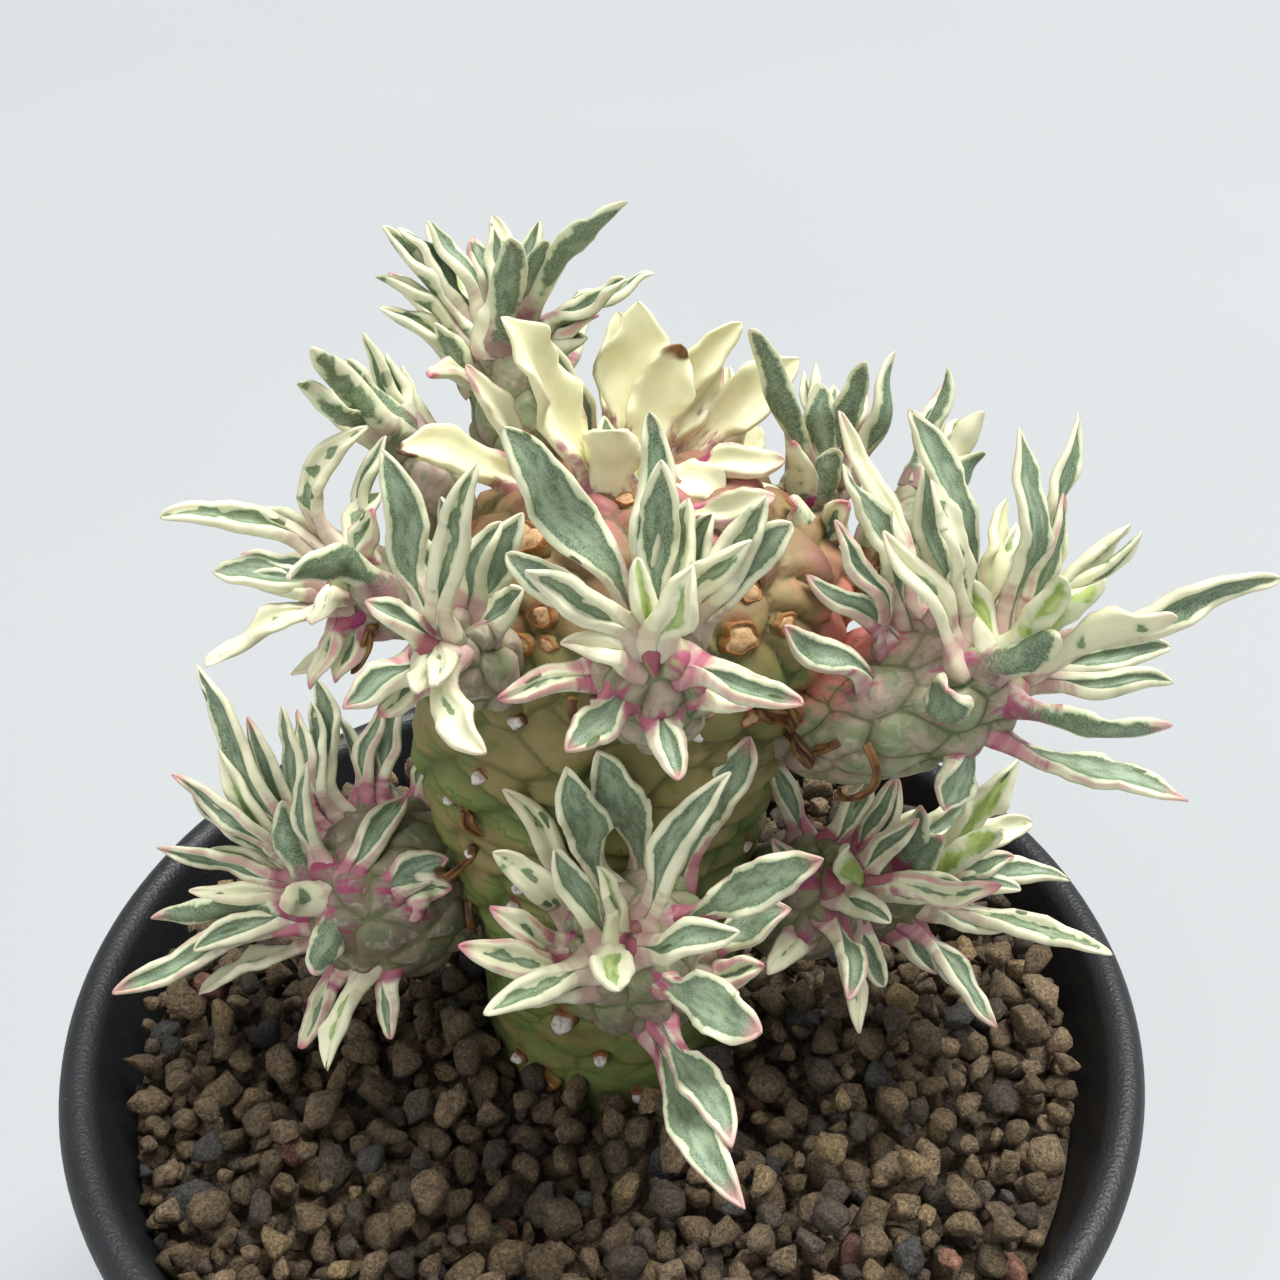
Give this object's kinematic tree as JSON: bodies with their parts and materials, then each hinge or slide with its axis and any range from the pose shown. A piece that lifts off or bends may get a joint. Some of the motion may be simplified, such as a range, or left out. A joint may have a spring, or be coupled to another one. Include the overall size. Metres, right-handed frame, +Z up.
{
  "type": "potted euphorbia",
  "caption": "Knobbly branching succulent euphorbia with variegated lance-shaped leaves, standing in brown grit in a round black plastic pot.",
  "frame": {"origin": "middle of the pot's underside, on the surface that the pot stands on", "axes": "+Z up along the pot's axis, -Y towards the side of the plant with the low front head, +X to the right seen from there"},
  "size_m": [0.1223, 0.1212, 0.1917],
  "materials": {
    "pot_plastic": "fine moulded grain, softly satin",
    "grit": "dry, rough, porous grains",
    "bark": null,
    "leaf": null
  },
  "bodies": {
    "root": {"pot": "pot_plastic", "soil": "grit", "trunk": "bark", "head_top_back": "leaf", "head_left_back": "leaf", "head_left": "leaf", "head_front_left": "leaf", "head_front_upper": "leaf", "head_front_lower": "leaf", "head_lower_left": "leaf", "head_lower_right": "leaf", "head_right": "leaf", "head_back_right": "leaf", "head_far_back_right": "leaf"}
  },
  "joints": []
}
